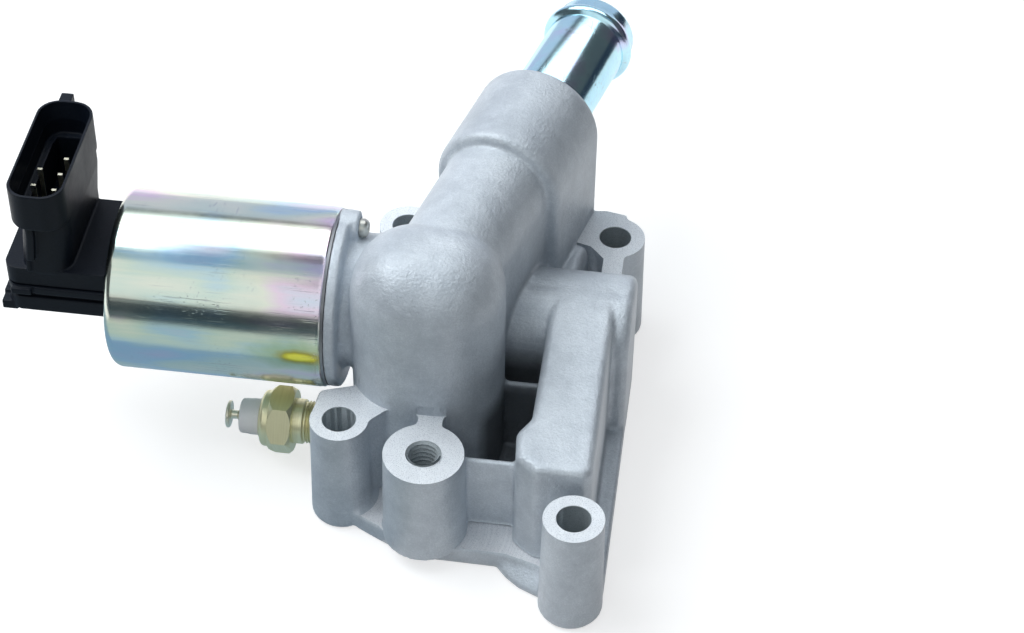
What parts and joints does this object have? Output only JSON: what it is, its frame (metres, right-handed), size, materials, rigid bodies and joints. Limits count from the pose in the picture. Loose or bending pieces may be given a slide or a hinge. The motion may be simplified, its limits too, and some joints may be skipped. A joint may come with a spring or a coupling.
{
  "type": "exhaust gas recirculation valve",
  "caption": "Exhaust gas recirculation valve: cast flange housing with ports and elbow, solenoid can, plug head, coolant spigot and temperature sensor.",
  "frame": {"origin": "point of the mounting face below the valve axis, where the valve stem's seat side begins", "axes": "+Z away from the mounting face, +X along the valve axis from the plug head to the gas duct, +Y towards the coolant spigot"},
  "size_m": [0.171, 0.181, 0.0895],
  "materials": {
    "cast_aluminium": "satin",
    "zinc_plate": "satin",
    "gasket_steel": "satin",
    "steel": "satin",
    "screw_steel": "satin",
    "brass": "satin",
    "bobbin_plastic": "matte",
    "contact": "satin",
    "copper_winding": "satin",
    "spring_steel": "satin",
    "seat_steel": "satin",
    "guide_iron": "matte",
    "seal_rubber": "matte",
    "white_plastic": "matte",
    "black_plastic": "matte",
    "black_plastic_cover": "matte",
    "card_board": "matte",
    "follower_plastic": "matte"
  },
  "bodies": {
    "body": {"housing": "cast_aluminium", "coolant_spigot": "zinc_plate", "solenoid_can": "zinc_plate", "base_gasket": "gasket_steel", "base_plate": "steel", "can_screws": "screw_steel", "guide_sleeve": "brass", "pole_piece": "steel", "coil_bobbin": "bobbin_plastic", "coil_leads": "contact", "coil_winding": "copper_winding", "return_spring": "spring_steel", "valve_seat": "seat_steel", "stem_guide": "guide_iron", "stem_bush": "brass", "stem_scraper": "seal_rubber", "sensor_body": "brass", "sensor_insulator": "white_plastic", "sensor_terminal": "contact", "sensor_element": "bobbin_plastic", "connector_head": "black_plastic", "connector_pins": "contact", "head_cover": "black_plastic_cover", "head_seal": "seal_rubber", "resistor_card": "card_board", "follower_spring": "spring_steel"},
    "valve": {"pintle": "seat_steel", "armature": "steel", "sensor_follower": "follower_plastic", "wiper": "contact"}
  },
  "joints": [
    {"name": "valve_lift", "type": "slide", "parent": "body", "child": "valve", "axis": [-1, 0, 0], "range_m": [0, 0.005], "stiffness_N_per_m": 1500, "springref_m": -0.008, "deforming": ["return_spring", "follower_spring"]}
  ]
}
